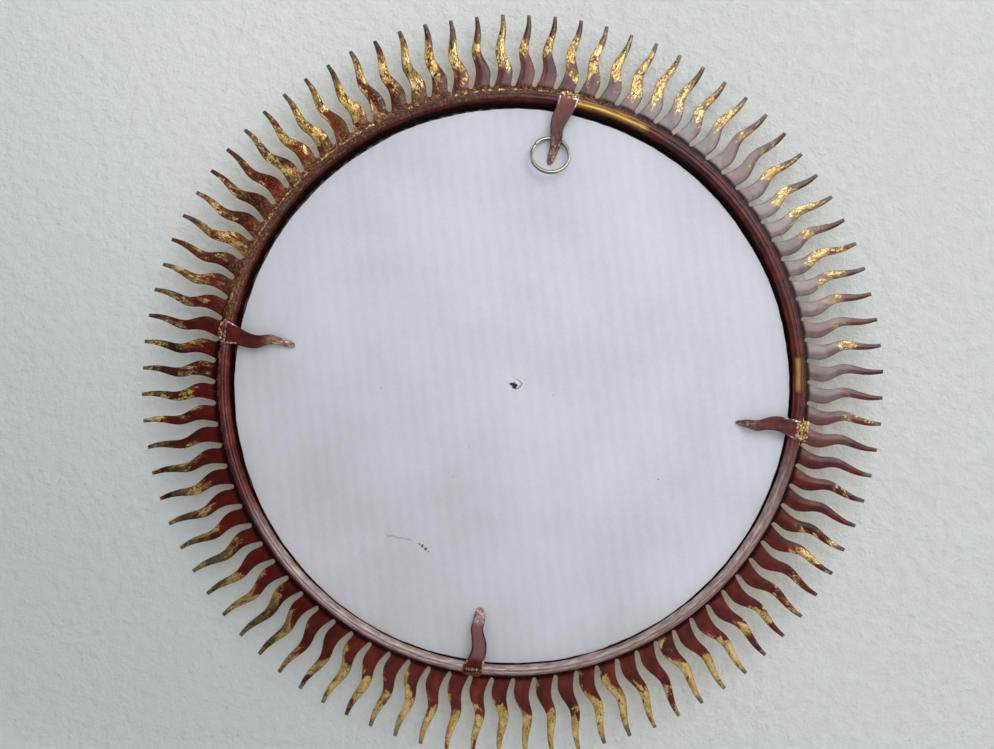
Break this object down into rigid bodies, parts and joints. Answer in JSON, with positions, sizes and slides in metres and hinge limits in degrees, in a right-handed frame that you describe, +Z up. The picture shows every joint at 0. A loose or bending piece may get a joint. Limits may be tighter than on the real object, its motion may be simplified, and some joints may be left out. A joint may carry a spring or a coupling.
{
  "type": "sunburst wall mirror",
  "caption": "Round wall mirror in a rolled sheet-metal rim with wavy flame rays, a corrugated card back under bent wavy tabs, and a split ring to hang it by.",
  "frame": {"origin": "on the disc's axis, in the plane of the tabs' backs, which rests against the wall", "axes": "+Z up with the hanging ring at the top, +Y out of the back towards the wall, glass facing -Y"},
  "size_m": [0.44, 0.0177, 0.44],
  "materials": {
    "worn_gilding": "red-brown bole paint with worn gold leaf, glossy where the paint shows",
    "bole_paint": "glossy red-brown bole paint",
    "gilding": "gold leaf over red bole, rubbed on its high places",
    "mirror": "silvered glass",
    "white_card": "matt white paper face of corrugated board",
    "brown_card": "brown kraft paper",
    "iron_wire": "bare iron",
    "solder": "rough solder crumbs, gold-coloured",
    "ring_steel": "nickelled steel, dulled"
  },
  "bodies": {
    "mirror_frame": {"mirror_glass": "mirror", "card_back_liner": "white_card", "card_front_liner": "brown_card", "card_fluting": "brown_card", "rim_hoop": "bole_paint", "rim_wire": "iron_wire", "front_bezel": "gilding", "tab_solder": "solder", "ray_strip_1": "worn_gilding", "ray_strip_2": "worn_gilding", "ray_strip_3": "worn_gilding", "ray_strip_4": "worn_gilding", "ray_strip_5": "worn_gilding", "ray_strip_6": "worn_gilding", "ray_strip_7": "worn_gilding", "ray_strip_8": "worn_gilding", "retaining_tab_top": "bole_paint", "retaining_tab_right": "bole_paint", "retaining_tab_bottom": "bole_paint", "retaining_tab_left": "bole_paint"},
    "hanging_ring": {"split_ring": "ring_steel"}
  },
  "joints": [
    {"name": "ring_swing", "type": "hinge", "parent": "mirror_frame", "child": "hanging_ring", "pos_m": [-0.0013, -0.00498, 0.1455], "axis": [1, 0, 0], "range_deg": [-13, 137]}
  ]
}
